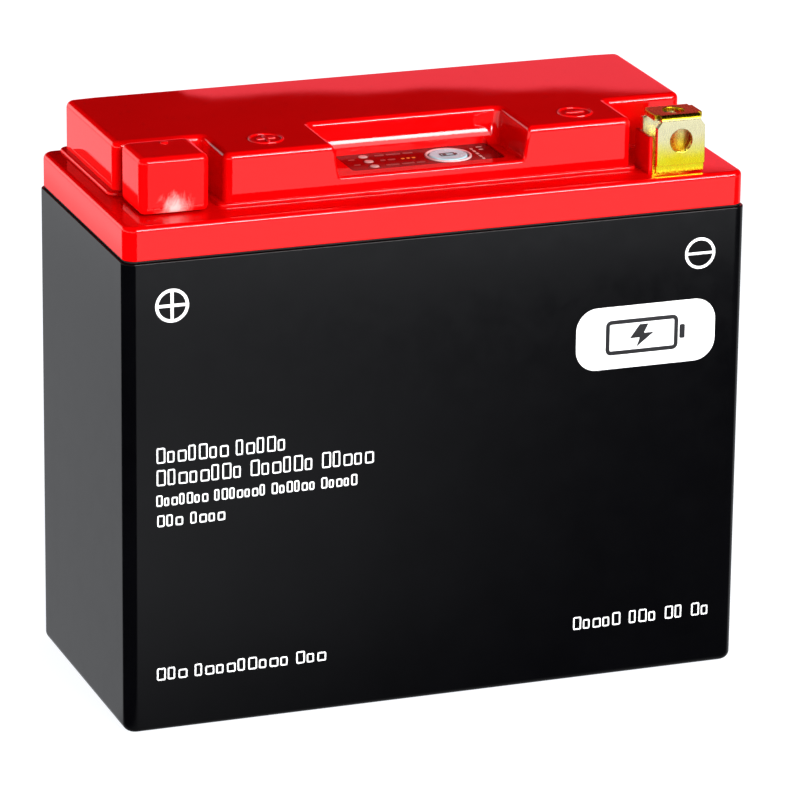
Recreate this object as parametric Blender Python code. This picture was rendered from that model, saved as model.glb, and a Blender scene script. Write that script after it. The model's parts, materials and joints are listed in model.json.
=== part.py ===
"""Motorcycle battery: black case, red stepped lid, two bolt-on terminals, a lift-off
terminal cap, a charge indicator with a test button, and the cell pack inside.

Frame: metres, +Z up, +X along the length, -Y is the printed front face,
origin at the middle of the base.  Lengths below are in millimetres and are scaled by MM.
"""
import math

import bmesh
import bpy
from mathutils import Matrix, Vector

MM = 0.001

# ---- overall sizes -------------------------------------------------------------------
LENGTH = 150.0            # along X
WIDTH = 67.0              # along Y
CORNER_R = 3.0            # upright corners of case and lid flange
BASE_FILLET = 2.0         # around the foot of the case
CASE_TOP = 111.75         # rim of the case
CASE_WALL = 2.2
CASE_FLOOR = 2.5

SEAL_Z0, SEAL_Z1 = 112.05, 112.40
LID_Z0 = 112.70           # underside of the lid flange
LID_STEP_IN = 0.45        # the lid stands this far inside the case outline
FLANGE_TOP = 120.3
BLOCK_TOP = 132.5         # top of the raised block
FLANGE_BEVEL = 1.2
BLOCK_BEVEL = 1.4

BLOCK_X = 69.0            # half length of the raised block
BLOCK_BACK = 32.0
BLOCK_FRONT = -23.3
POCKET_BACK = -6.8        # rear wall of both terminal pockets
POCKET_L = -48.2          # inner wall of the left pocket
POCKET_R = 50.2           # inner wall of the right pocket
LID_SKIN = 2.2

RECESS_FLOOR = 124.7      # shelf that carries the indicator
RECESS_X0, RECESS_X1 = -22.3, 24.8
RECESS_BACK = -4.4
RECESS_DRAFT = 1.3        # each wall leans in this much from top to shelf

# ---- terminals -----------------------------------------------------------------------
TERM_W = 11.8
TERM_D = 10.3
TERM_T = 1.4
TERM_Z0 = 120.6
NEG_X, NEG_FRONT, NEG_TOP = 59.5, -30.3, 134.1
POS_X, POS_FRONT, POS_TOP = -60.55, -23.9, 132.2
BOLT_HOLE_R = 2.75
TAIL_W = 8.0
TAIL_Z0 = 104.0
RIB_T = 1.0
RIB_TOP = 129.1

# ---- terminal cap --------------------------------------------------------------------
CAP_X0, CAP_X1 = -68.7, -52.4
CAP_Y0, CAP_Y1 = -25.8, -10.7
CAP_Z0, CAP_Z1 = 120.7, 133.7
CAP_WALL = 1.2

# ---- indicator -----------------------------------------------------------------------
BUTTON_X, BUTTON_Y = 8.8, -13.6
BUTTON_R = 4.45
LED_X = -10.2
LED_Y = (-8.8, -12.8, -16.8)
PANEL_X0, PANEL_X1 = -16.2, 20.6
PANEL_Y0, PANEL_Y1 = -19.4, -6.4

# ---- cell pack -----------------------------------------------------------------------
CELL_X, CELL_Y, CELL_Z = 15.5, 54.0, 92.0
CELL_PITCH = 16.0
CELL_Z0 = 7.1
TAB_Z1 = 102.1
LINK_Z0, LINK_Z1 = 102.4, 103.4
BOARD_Z0, BOARD_Z1 = 107.5, 109.1
BOSS_XY = ((-42.0, 22.0), (42.0, 22.0), (-42.0, -8.0), (42.0, -8.0))
IBOARD_Z0, IBOARD_Z1 = 115.6, 117.2
IBOSS_XY = ((-13.5, -5.2), (17.5, -18.6))

SCENE = bpy.context.scene


# ======================================================================================
#  helpers
# ======================================================================================
def clear_scene():
    for ob in list(bpy.data.objects):
        bpy.data.objects.remove(ob, do_unlink=True)


def material(name, colour, rough, metal=0.0):
    m = bpy.data.materials.get(name)
    if m is None:
        m = bpy.data.materials.new(name)
        m.use_nodes = True
        b = m.node_tree.nodes["Principled BSDF"]
        b.inputs["Base Color"].default_value = (*colour, 1.0)
        b.inputs["Roughness"].default_value = rough
        b.inputs["Metallic"].default_value = metal
        m.diffuse_color = (*colour, 1.0)
    return m


MATS = {
    "case": ((0.012, 0.012, 0.014), 0.25, 0.0),
    "lid": ((0.75, 0.004, 0.006), 0.22, 0.0),
    "seal": ((0.01, 0.01, 0.01), 0.6, 0.0),
    "terminal": ((0.86, 0.62, 0.16), 0.25, 1.0),
    "cap": ((0.80, 0.004, 0.006), 0.30, 0.0),
    "panel": ((0.10, 0.004, 0.006), 0.35, 0.0),
    "button": ((0.42, 0.48, 0.52), 0.35, 0.0),
    "led": ((0.85, 0.85, 0.82), 0.20, 0.0),
    "board": ((0.02, 0.16, 0.06), 0.45, 0.0),
    "chip": ((0.02, 0.02, 0.02), 0.45, 0.0),
    "cell": ((0.10, 0.22, 0.50), 0.40, 0.0),
    "nickel": ((0.62, 0.60, 0.56), 0.30, 1.0),
    "foam": ((0.05, 0.05, 0.055), 0.9, 0.0),
    "steel": ((0.55, 0.55, 0.56), 0.35, 1.0),
    "band": ((0.85, 0.55, 0.08), 0.45, 0.0),
    "lead_red": ((0.6, 0.02, 0.02), 0.5, 0.0),
    "lead_white": ((0.8, 0.8, 0.78), 0.5, 0.0),
}


def add_object(name, bm, mat=None, smooth=True):
    bmesh.ops.recalc_face_normals(bm, faces=bm.faces)
    bmesh.ops.transform(bm, matrix=Matrix.Scale(MM, 4), verts=bm.verts)
    me = bpy.data.meshes.new(name)
    bm.to_mesh(me)
    bm.free()
    ob = bpy.data.objects.new(name, me)
    SCENE.collection.objects.link(ob)
    if mat:
        colour, rough, metal = MATS[mat]
        me.materials.append(material(name + "_mat", colour, rough, metal))
    if smooth:
        me.shade_smooth()
        me.set_sharp_from_angle(angle=math.radians(35))
    return ob


def cutter(name, bm):
    ob = add_object(name, bm, smooth=False)
    ob.hide_render = True
    ob.display_type = "WIRE"
    return ob


def boolean(target, other, operation):
    mod = target.modifiers.new(operation.lower() + "_" + other.name, "BOOLEAN")
    mod.operation = operation
    mod.solver = "EXACT"
    mod.object = other
    return mod


def cut(target, name, bm):
    boolean(target, cutter("cut_" + name, bm), "DIFFERENCE")


def fuse(target, name, bm):
    boolean(target, cutter("add_" + name, bm), "UNION")


def outline(corners, inset=0.0, seg=3):
    """Counter-clockwise outline from (x, y, radius) corners, moved inwards by inset.
    Convex corner radii shrink with the inset and concave ones grow."""
    n = len(corners)
    pts = []
    for i in range(n):
        p = Vector(corners[i][:2])
        a = (Vector(corners[i - 1][:2]) - p).normalized()
        b = (Vector(corners[(i + 1) % n][:2]) - p).normalized()
        cross = (-a).x * b.y - (-a).y * b.x       # >0 where the outline turns left
        convex = cross > 0
        # inward normals of the incoming and outgoing edges
        na = Vector((-(-a).y, (-a).x))
        nb = Vector((-b.y, b.x))
        q = p + (na + nb) * inset                 # right-angled corners only
        r = corners[i][2]
        r = max(0.02, r - inset) if convex else r + inset
        ta, tb = q + a * r, q + b * r
        centre = q + a * r + b * r
        va, vb = ta - centre, tb - centre
        ang0 = math.atan2(va.y, va.x)
        ang1 = math.atan2(vb.y, vb.x)
        d = (ang1 - ang0 + math.pi) % (2 * math.pi) - math.pi
        for k in range(seg + 1):
            t = ang0 + d * k / seg
            pts.append((centre.x + r * math.cos(t), centre.y + r * math.sin(t)))
    return pts


def stack(loops):
    """Closed solid through a list of (points_xy, z), bottom loop first."""
    bm = bmesh.new()
    rows = [[bm.verts.new((x, y, z)) for x, y in pts] for pts, z in loops]
    n = len(rows[0])
    for lo, hi in zip(rows, rows[1:]):
        for i in range(n):
            j = (i + 1) % n
            bm.faces.new((lo[i], lo[j], hi[j], hi[i]))
    bm.faces.new(list(reversed(rows[0])))
    bm.faces.new(rows[-1])
    return bm


def rect(x0, x1, y0, y1, r):
    return [(x0, y0, r), (x1, y0, r), (x1, y1, r), (x0, y1, r)]


def bevelled(corners, z0, z1, top=0.0, bottom=0.0, seg=3, steps=2):
    """Upright solid with a rounded top and bottom edge."""
    loops = []
    if bottom > 0:
        for k in range(steps + 1):
            t = math.pi / 2 * k / steps
            loops.append((outline(corners, bottom * (1 - math.sin(t)), seg), z0 + bottom * (1 - math.cos(t))))
    else:
        loops.append((outline(corners, 0, seg), z0))
    if top > 0:
        for k in range(steps + 1):
            t = math.pi / 2 * k / steps
            loops.append((outline(corners, top * (1 - math.cos(t)), seg), z1 - top * (1 - math.sin(t))))
    else:
        loops.append((outline(corners, 0, seg), z1))
    return stack(loops)


def box(x0, x1, y0, y1, z0, z1):
    return stack([([(x0, y0), (x1, y0), (x1, y1), (x0, y1)], z0),
                  ([(x0, y0), (x1, y0), (x1, y1), (x0, y1)], z1)])


def ring_pts(x, y, r, seg):
    return [(x + r * math.cos(2 * math.pi * k / seg), y + r * math.sin(2 * math.pi * k / seg)) for k in range(seg)]


def turned(x, y, profile, seg=24):
    """Solid of revolution about an upright axis, profile = (radius, z) bottom to top."""
    return stack([(ring_pts(x, y, r, seg), z) for r, z in profile])


def frame_ring(outer, inner, z0, z1, seg=3):
    """Flat closed band between two outlines with the same number of corners."""
    bm = bmesh.new()
    o, i = outline(outer, 0, seg), outline(inner, 0, seg)
    rows = [[bm.verts.new((x, y, z)) for x, y in pts] for pts, z in ((o, z0), (o, z1), (i, z1), (i, z0))]
    n = len(o)
    for a, b in zip(rows, rows[1:] + rows[:1]):
        for k in range(n):
            j = (k + 1) % n
            bm.faces.new((a[k], a[j], b[j], b[k]))
    return bm


def tube_curve(name, pts, radius, mat, samples=18):
    """Round lead through a smooth curve that passes its own route points."""
    route = []
    p = [Vector(v) for v in pts]
    p = [p[0] * 2 - p[1]] + p + [p[-1] * 2 - p[-2]]
    per = max(2, samples // (len(p) - 3))
    for i in range(1, len(p) - 2):
        for k in range(per):
            t = k / per
            a, b, c, d = p[i - 1], p[i], p[i + 1], p[i + 2]
            route.append(0.5 * ((2 * b) + (c - a) * t + (2 * a - 5 * b + 4 * c - d) * t * t
                                + (3 * b - a - 3 * c + d) * t ** 3))
    route.append(p[-2])
    cu = bpy.data.curves.new(name, "CURVE")
    cu.dimensions = "3D"
    sp = cu.splines.new("POLY")
    sp.points.add(len(route) - 1)
    for q, v in zip(sp.points, route):
        q.co = (v.x * MM, v.y * MM, v.z * MM, 1.0)
    cu.bevel_depth = radius * MM
    cu.bevel_resolution = 2
    cu.use_fill_caps = True
    ob = bpy.data.objects.new(name, cu)
    SCENE.collection.objects.link(ob)
    colour, rough, metal = MATS[mat]
    cu.materials.append(material(name + "_mat", colour, rough, metal))
    return ob


def y_hole(x, z, r, y0, y1, seg=20):
    bm = turned(0, 0, ((r, y0), (r, y1)), seg)
    # local z becomes world y
    bmesh.ops.transform(bm, matrix=Matrix(((1, 0, 0, x), (0, 0, 1, 0), (0, -1, 0, z), (0, 0, 0, 1))), verts=bm.verts)
    return bm


# ======================================================================================
#  shells
# ======================================================================================
def make_case():
    hx, hy = LENGTH / 2, WIDTH / 2
    ob = add_object("case", bevelled(rect(-hx, hx, -hy, hy, CORNER_R), 0, CASE_TOP, bottom=BASE_FILLET,
                                     seg=4, steps=3), "case")
    w = CASE_WALL
    cut(ob, "case_inside", bevelled(rect(-hx + w, hx - w, -hy + w, hy - w, 1.4), CASE_FLOOR, CASE_TOP + 5, seg=3))
    return ob


def block_corners(grow_x=0.0, grow_y=0.0, r=1.9, rc=1.0):
    return [(-BLOCK_X - grow_x, POCKET_BACK - grow_y, r), (POCKET_L - grow_x, POCKET_BACK - grow_y, rc),
            (POCKET_L - grow_x, BLOCK_FRONT - grow_y, r), (POCKET_R + grow_x, BLOCK_FRONT - grow_y, r),
            (POCKET_R + grow_x, POCKET_BACK - grow_y, rc), (BLOCK_X + grow_x, POCKET_BACK - grow_y, r),
            (BLOCK_X + grow_x, BLOCK_BACK + min(grow_y, 0.4), r), (-BLOCK_X - grow_x, BLOCK_BACK + min(grow_y, 0.4), r)]


def recess_cut():
    """Shelf for the indicator, open at the top and at the front."""
    def shape(lean):
        return [(RECESS_X0 + lean, BLOCK_FRONT - 6, 0.3), (RECESS_X1 - lean, BLOCK_FRONT - 6, 0.3),
                (RECESS_X1 - lean, RECESS_BACK - lean, 1.6), (RECESS_X0 + lean, RECESS_BACK - lean, 1.6)]
    slope = RECESS_DRAFT / (BLOCK_TOP - RECESS_FLOOR)
    above = 3.0
    return stack([(outline(shape(RECESS_DRAFT), 0, 3), RECESS_FLOOR),
                  (outline(shape(-slope * above), 0, 3), BLOCK_TOP + above)])


def raised_mark(ob, tag, x, y, minus=False):
    z0, z1 = BLOCK_TOP - 0.3, BLOCK_TOP + 0.35
    outer, inner = ring_pts(x, y, 4.1, 24), ring_pts(x, y, 3.5, 24)
    bm = bmesh.new()
    rows = [[bm.verts.new((px, py, z)) for px, py in pts] for pts, z in
            ((outer, z0), (outer, z1), (inner, z1), (inner, z0))]
    for a, b in zip(rows, rows[1:] + rows[:1]):
        for k in range(24):
            j = (k + 1) % 24
            bm.faces.new((a[k], a[j], b[j], b[k]))
    fuse(ob, tag + "_ring", bm)
    a, b = 2.3, 0.4
    if minus:
        fuse(ob, tag + "_bar", box(x - a, x + a, y - b, y + b, z0, z1))
    else:
        pts = [(x - a, y - b), (x - b, y - b), (x - b, y - a), (x + b, y - a), (x + b, y - b), (x + a, y - b),
               (x + a, y + b), (x + b, y + b), (x + b, y + a), (x - b, y + a), (x - b, y + b), (x - a, y + b)]
        fuse(ob, tag + "_cross", stack([(pts, z0), (pts, z1)]))


def make_lid():
    hx, hy = LENGTH / 2 - LID_STEP_IN, WIDTH / 2 - LID_STEP_IN
    ob = add_object("lid", bevelled(rect(-hx, hx, -hy, hy, CORNER_R), LID_Z0, FLANGE_TOP, top=FLANGE_BEVEL,
                                    seg=4, steps=2), "lid")
    # spigot that drops inside the case rim
    sx, sy = LENGTH / 2 - CASE_WALL - 0.4, WIDTH / 2 - CASE_WALL - 0.4
    fuse(ob, "spigot", bevelled(rect(-sx, sx, -sy, sy, 1.2), 108.6, LID_Z0 + 1.0))
    # plinth and raised block
    fuse(ob, "plinth", bevelled(block_corners(1.4, 0.7, 1.9, 0.6), FLANGE_TOP - 1.0, FLANGE_TOP + 0.8, top=0.4,
                                seg=3, steps=1))
    fuse(ob, "block", bevelled(block_corners(), FLANGE_TOP - 1.5, BLOCK_TOP, top=BLOCK_BEVEL, seg=3, steps=2))
    cut(ob, "recess", recess_cut())
    # upright ribs that locate the open terminal bracket sideways: a long one inboard, a short one outboard
    for side, start, top in ((-1, 1.7, RIB_TOP), (1, TERM_D - 6.4, RIB_TOP - 1.2)):
        xa, xb = NEG_X + side * (TERM_W / 2 + 0.35), NEG_X + side * (TERM_W / 2 + RIB_T + 0.35)
        fuse(ob, "rib_%d" % (side > 0),
             bevelled(rect(min(xa, xb), max(xa, xb), NEG_FRONT + start, NEG_FRONT + TERM_D, 0.2), FLANGE_TOP - 1,
                      top, top=0.2, seg=1, steps=1))
    raised_mark(ob, "plus", -35.4, -14.1)
    raised_mark(ob, "minus", 39.3, -14.9, minus=True)
    # hollow underside
    s = LID_SKIN
    ix, iy = sx - 1.6, sy - 1.6
    cut(ob, "hollow_flange", box(-ix, ix, -iy, iy, 100, FLANGE_TOP - s))
    cut(ob, "hollow_rear", box(-BLOCK_X + s, BLOCK_X - s, RECESS_BACK + s, iy - 0.1, 116, BLOCK_TOP - s))
    cut(ob, "hollow_left", box(POCKET_L + s, RECESS_X0 - s - 0.3, BLOCK_FRONT + s, 0.5, 116, BLOCK_TOP - s))
    cut(ob, "hollow_right", box(RECESS_X1 + s + 0.3, POCKET_R - s, BLOCK_FRONT + s, 0.5, 116, BLOCK_TOP - s))
    cut(ob, "hollow_shelf", box(RECESS_X0 - s - 1, RECESS_X1 + s + 1, BLOCK_FRONT + s, 0.5, 116, RECESS_FLOOR - s))
    # slots for the terminal tails
    for tag, x, front in (("neg", NEG_X, NEG_FRONT), ("pos", POS_X, POS_FRONT)):
        yb = front + TERM_D
        cut(ob, "slot_" + tag, box(x - TAIL_W / 2 - 0.4, x + TAIL_W / 2 + 0.4, yb - TERM_T - 0.4, yb + 0.4, 115, 122))
    # bosses for the two boards
    for k, (x, y) in enumerate(BOSS_XY):
        fuse(ob, "boss_%d" % k, turned(x, y, ((3.0, BOARD_Z1 + 0.3), (3.0, BLOCK_TOP - 1)), 12))
        cut(ob, "boss_hole_%d" % k, turned(x, y, ((1.65, BOARD_Z1 - 1), (1.65, 119.0)), 10))
    for k, (x, y) in enumerate(IBOSS_XY):
        fuse(ob, "iboss_%d" % k, turned(x, y, ((1.9, IBOARD_Z1 + 0.3), (1.9, RECESS_FLOOR - 1)), 10))
        cut(ob, "iboss_hole_%d" % k, turned(x, y, ((1.1, IBOARD_Z1 - 1), (1.1, 121.2)), 8))
    # button and indicator light holes in the shelf
    cut(ob, "button_hole", turned(BUTTON_X, BUTTON_Y, ((BUTTON_R + 0.35, 121), (BUTTON_R + 0.35, 127)), 24))
    for k, y in enumerate(LED_Y):
        cut(ob, "led_hole_%d" % k, turned(LED_X, y, ((1.45, 121), (1.45, 127)), 10))
    return ob


def make_seal():
    o = LENGTH / 2 - 0.75, WIDTH / 2 - 0.75
    i = LENGTH / 2 - 2.0, WIDTH / 2 - 2.0
    return add_object("lid_seal", frame_ring(rect(-o[0], o[0], -o[1], o[1], 2.6), rect(-i[0], i[0], -i[1], i[1], 1.5),
                                             SEAL_Z0, SEAL_Z1), "seal")


# ======================================================================================
#  terminals and cap
# ======================================================================================
def make_terminal(name, xc, front, top):
    """Bent strip bracket, open to both sides, with a tail that drops through the lid."""
    t, back = TERM_T, front + TERM_D
    hw = TERM_W / 2
    r_out = 1.0
    # side profile in the Y-Z plane: front leg, top, back leg
    prof = []
    for cy, cz, a0 in ((front + r_out, top - r_out, 180.0), (back - r_out, top - r_out, 90.0)):
        for k in range(4):
            a = math.radians(a0 - 30.0 * k)
            prof.append((cy + r_out * math.cos(a), cz + r_out * math.sin(a)))
    outer = [(front, TERM_Z0 + 1.4)] + prof + [(back, TERM_Z0)]
    inner = [(back - t, TERM_Z0), (back - t, top - t), (front + t, top - t), (front + t, TERM_Z0)]
    foot = [(front + 0.5, TERM_Z0), (front + 0.5, TERM_Z0 + 1.4)]
    yz = outer + inner + foot
    bm = bmesh.new()
    lo = [bm.verts.new((xc - hw, y, z)) for y, z in yz]
    hi = [bm.verts.new((xc + hw, y, z)) for y, z in yz]
    n = len(yz)
    for i in range(n):
        j = (i + 1) % n
        bm.faces.new((lo[i], lo[j], hi[j], hi[i]))
    bm.faces.new(list(reversed(lo)))
    bm.faces.new(hi)
    ob = add_object(name, bm, "terminal")
    # waisted top plate: relief notches beside both bends
    for side in (-1, 1):
        for tag, y in (("f", front), ("b", back)):
            x = xc + side * (hw + 0.4)
            d = 2.0 if tag == "f" else -2.0
            cut(ob, "%s_relief_%s%d" % (name, tag, side > 0),
                box(min(x, x - side * 1.1), max(x, x - side * 1.1), min(y + d, y - d * 0.5), max(y + d, y - d * 0.5),
                    top - 2.1, top + 1))
    # bolt holes: through the front plate and the top plate
    cut(ob, name + "_front_hole", y_hole(xc, top - 6.0, BOLT_HOLE_R, front - 2, front + t + 1.5))
    cut(ob, name + "_top_hole", turned(xc, (front + back) / 2, ((BOLT_HOLE_R - 0.2, top - 3), (BOLT_HOLE_R - 0.2, top + 2)), 20))
    # tail below the back plate
    fuse(ob, name + "_tail", box(xc - TAIL_W / 2, xc + TAIL_W / 2, back - t, back, TAIL_Z0, TERM_Z0 + 1))
    cut(ob, name + "_lug_hole", y_hole(xc, 108.0, 2.3, back - t - 2, back + 2, 14))
    return ob


def make_cap():
    ob = add_object("positive_terminal_cap",
                    bevelled(rect(CAP_X0, CAP_X1, CAP_Y0, CAP_Y1, 1.6), CAP_Z0, CAP_Z1, top=1.4, seg=3, steps=2), "cap")
    w = CAP_WALL
    fuse(ob, "cap_nub", turned((CAP_X0 + CAP_X1) / 2 + 1.0, -14.4, ((0.9, CAP_Z1 - 0.5), (0.9, CAP_Z1 + 0.2),
                                                                      (0.5, CAP_Z1 + 0.4)), 10))
    cut(ob, "cap_inside", bevelled(rect(CAP_X0 + w, CAP_X1 - w, CAP_Y0 + w, CAP_Y1 - w, 0.6), CAP_Z0 - 3, CAP_Z1 - w,
                                   seg=1))
    return ob


# ======================================================================================
#  charge indicator
# ======================================================================================
def make_indicator():
    z0 = RECESS_FLOOR + 0.3
    panel = add_object("indicator_panel", bevelled(rect(PANEL_X0, PANEL_X1, PANEL_Y0, PANEL_Y1, 0.8), z0, z0 + 0.35, seg=2),
                       "panel")
    cut(panel, "panel_button", turned(BUTTON_X, BUTTON_Y, ((BUTTON_R + 1.3, 120), (BUTTON_R + 1.3, 128)), 28))
    for k, y in enumerate(LED_Y):
        cut(panel, "panel_led_%d" % k, turned(LED_X, y, ((1.5, 120), (1.5, 128)), 10))

    bm = bmesh.new()
    seg, ro, ri = 28, BUTTON_R + 1.0, BUTTON_R + 0.35
    rows = [[bm.verts.new((x, y, z)) for x, y in ring_pts(BUTTON_X, BUTTON_Y, r, seg)]
            for r, z in ((ro, z0), (ro, z0 + 0.45), (ro - 0.2, z0 + 0.65), (ri, z0 + 0.65), (ri, z0))]
    for a, b in zip(rows, rows[1:] + rows[:1]):
        for k in range(seg):
            j = (k + 1) % seg
            bm.faces.new((a[k], a[j], b[j], b[k]))
    add_object("button_bezel", bm, "button")

    under = RECESS_FLOOR - LID_SKIN - 0.3
    add_object("test_button", turned(BUTTON_X, BUTTON_Y, ((1.5, 120.6), (1.5, under - 0.9), (BUTTON_R + 1.1, under - 0.9),
                                                          (BUTTON_R + 1.1, under), (BUTTON_R, under),
                                                          (BUTTON_R, z0 + 0.35), (BUTTON_R - 0.3, z0 + 0.55)), 24), "button")
    for k, y in enumerate(LED_Y):
        add_object("indicator_light_%d" % (k + 1),
                   turned(LED_X, y, ((1.8, IBOARD_Z1 + 0.3), (1.8, IBOARD_Z1 + 1.8), (1.1, IBOARD_Z1 + 1.8), (1.1, z0 + 0.25),
                                     (0.7, z0 + 0.45)), 12), "led")
    board = add_object("indicator_board", bevelled(rect(-16.0, 20.0, -20.6, -3.0, 0.8), IBOARD_Z0, IBOARD_Z1, seg=1), "board")
    for k, (x, y) in enumerate(IBOSS_XY):
        cut(board, "iboard_hole_%d" % k, turned(x, y, ((1.25, IBOARD_Z0 - 1), (1.25, IBOARD_Z1 + 1)), 10))
        add_object("indicator_screw_%d" % (k + 1),
                   turned(x, y, ((1.4, IBOARD_Z0 - 1.7), (1.9, IBOARD_Z0 - 1.2), (1.9, IBOARD_Z0 - 0.3), (0.8, IBOARD_Z0 - 0.3),
                                 (0.8, 120.4), (0.5, 120.8)), 10), "steel")
    add_object("tact_switch", bevelled(rect(BUTTON_X - 3, BUTTON_X + 3, BUTTON_Y - 3, BUTTON_Y + 3, 0.4), IBOARD_Z1 + 0.3,
                                       119.7, top=0.3, seg=1, steps=1), "chip")


# ======================================================================================
#  cell pack
# ======================================================================================
def make_cells():
    x = [(k - 1.5) * CELL_PITCH for k in range(4)]
    for k in range(4):
        ob = add_object("cell_%d" % (k + 1),
                        bevelled(rect(x[k] - CELL_X / 2, x[k] + CELL_X / 2, -CELL_Y / 2, CELL_Y / 2, 1.2), CELL_Z0,
                                 CELL_Z0 + CELL_Z, top=0.8, bottom=0.8, seg=2, steps=1), "cell")
        for tag, y in (("a", -15.0), ("b", 15.0)):
            fuse(ob, "tab_%d%s" % (k, tag), box(x[k] - 4, x[k] + 4, y - 6, y + 6, CELL_Z0 + CELL_Z - 1, TAB_Z1))
    for k, y in ((0, 15.0), (1, -15.0), (2, 15.0)):
        add_object("series_link_%d" % (k + 1),
                   bevelled(rect(x[k] - 4, x[k + 1] + 4, y - 5, y + 5, 1.0), LINK_Z0, LINK_Z1, seg=2), "nickel")
    for tag, end, xc, front in (("negative", x[3], NEG_X, NEG_FRONT), ("positive", x[0], POS_X, POS_FRONT)):
        lug_y0 = front + TERM_D + 0.3
        s = 1 if xc > 0 else -1
        x_in, x_out = end - s * 4, xc + s * 4
        bar = add_object(tag + "_busbar", box(min(x_in, x_out), max(x_in, x_out), -20.0, -10.0, LINK_Z0, LINK_Z1), "nickel")
        fuse(bar, tag + "_reach", box(xc - 4, xc + 4, min(lug_y0, -12.0), -10.0 if lug_y0 < -14 else -8.0, LINK_Z0, LINK_Z1))
        fuse(bar, tag + "_upright", box(xc - 4, xc + 4, lug_y0, lug_y0 + 1.0, LINK_Z0 + 0.1, 111.5))
        cut(bar, tag + "_lug_hole", y_hole(xc, 108.0, 2.3, lug_y0 - 1, lug_y0 + 3, 14))
        # screw and nut that clamp the lug to the tail
        ys = front + TERM_D - TERM_T
        bm = turned(0, 0, ((3.2, ys - 2.7), (3.8, ys - 2.1), (3.8, ys - 0.3), (1.95, ys - 0.3), (1.95, lug_y0 + 5.0),
                           (1.6, lug_y0 + 5.4)), 16)
        bmesh.ops.transform(bm, matrix=Matrix(((1, 0, 0, xc), (0, 0, 1, 0), (0, -1, 0, 108.0), (0, 0, 0, 1))), verts=bm.verts)
        add_object(tag + "_lug_screw", bm, "steel")
        bm = bmesh.new()
        rows = []
        for r, seg_r, yv in ((3.9, 6, lug_y0 + 1.3), (3.9, 6, lug_y0 + 3.9)):
            rows.append([bm.verts.new((xc + r * math.cos(math.pi / 3 * (i // 2)), yv, 108.0 + r * math.sin(math.pi / 3 * (i // 2)))
                                      if i % 2 == 0 else
                                      (xc + r * (math.cos(math.pi / 3 * (i // 2)) + math.cos(math.pi / 3 * (i // 2 + 1))) / 2, yv,
                                       108.0 + r * (math.sin(math.pi / 3 * (i // 2)) + math.sin(math.pi / 3 * (i // 2 + 1))) / 2))
                         for i in range(12)])
        inner = []
        for yv in (lug_y0 + 3.9, lug_y0 + 1.3):
            inner.append([bm.verts.new((xc + 2.3 * math.cos(math.pi / 6 * i), yv, 108.0 + 2.3 * math.sin(math.pi / 6 * i)))
                          for i in range(12)])
        loops = rows + inner
        for a, b in zip(loops, loops[1:] + loops[:1]):
            for k in range(12):
                j = (k + 1) % 12
                bm.faces.new((a[k], a[j], b[j], b[k]))
        add_object(tag + "_lug_nut", bm, "steel")

    hx, hy = 2 * CELL_PITCH - 0.25 + 0.35, CELL_Y / 2 + 0.35
    for k, z in enumerate((24.0, 70.0)):
        add_object("cell_band_%d" % (k + 1), frame_ring(rect(-hx - 0.8, hx + 0.8, -hy - 0.8, hy + 0.8, 1.6),
                                                         rect(-hx, hx, -hy, hy, 0.8), z, z + 12.0, seg=2), "band")
    ix, iy = LENGTH / 2 - CASE_WALL - 0.5, WIDTH / 2 - CASE_WALL - 0.5
    add_object("foam_base_pad", bevelled(rect(-ix, ix, -iy, iy, 1.5), CASE_FLOOR + 0.3, CELL_Z0 - 0.3, seg=1), "foam")
    for tag, s in (("left", -1), ("right", 1)):
        a, b = s * (hx + 1.3), s * ix
        add_object("foam_block_" + tag, bevelled(rect(min(a, b), max(a, b), -iy, iy, 1.5), CELL_Z0, 98.0, seg=1), "foam")


def make_board():
    ob = add_object("balance_board", bevelled(rect(-46.0, 46.0, -13.0, 25.6, 1.5), BOARD_Z0, BOARD_Z1, seg=1), "board")
    for k, (x, y) in enumerate(BOSS_XY):
        cut(ob, "board_hole_%d" % k, turned(x, y, ((1.7, BOARD_Z0 - 1), (1.7, BOARD_Z1 + 1)), 10))
        add_object("board_screw_%d" % (k + 1),
                   turned(x, y, ((2.0, BOARD_Z0 - 2.3), (2.9, BOARD_Z0 - 1.7), (2.9, BOARD_Z0 - 0.3), (1.3, BOARD_Z0 - 0.3),
                                 (1.3, 118.2), (0.9, 118.6)), 10), "steel")
    z = BOARD_Z1 + 0.3
    for k, x in enumerate((-26.0, -12.0)):
        add_object("switch_transistor_%d" % (k + 1), bevelled(rect(x - 5, x + 5, 8, 18, 0.4), z, z + 4.4, top=0.5, seg=1, steps=1),
                   "chip")
    add_object("balance_chip", bevelled(rect(10, 20, 8, 18, 0.3), z, z + 1.6, top=0.3, seg=1, steps=1), "chip")
    add_object("balance_connector", bevelled(rect(26, 38, 14, 21, 0.4), z, z + 6.0, seg=1), "led")
    add_object("indicator_connector", bevelled(rect(-3, 5, 1.0, 6.0, 0.4), z, z + 4.0, seg=1), "led")
    tube_curve("indicator_lead", ((1.0, -2.4, 116.4), (1.0, -1.4, 116.6), (1.0, 1.6, 116.8), (1.0, 3.4, 115.8), (1.0, 3.5, 113.8)),
               0.9, "lead_red")
    tube_curve("balance_lead", ((32.0, 21.4, 111.6), (32.0, 23.6, 112.0), (32.0, 27.0, 110.2), (31.0, 27.2, 107.0),
                                (29.0, 26.4, 105.0), (26.0, 22.0, 104.5)), 0.9, "lead_white", samples=26)


clear_scene()
make_case()
make_lid()
make_seal()
make_terminal("negative_terminal", NEG_X, NEG_FRONT, NEG_TOP)
make_terminal("positive_terminal", POS_X, POS_FRONT, POS_TOP)
make_cap()
make_indicator()
make_cells()
make_board()
bpy.context.view_layer.update()
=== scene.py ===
"""Looks of the motorcycle battery: fine shells for the case, lid, cap, brackets and charge
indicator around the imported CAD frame, printed marks, procedural materials, studio light.

Lengths in the shape code are millimetres, scaled by MM when a mesh is made.
"""
import json
import math

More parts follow.
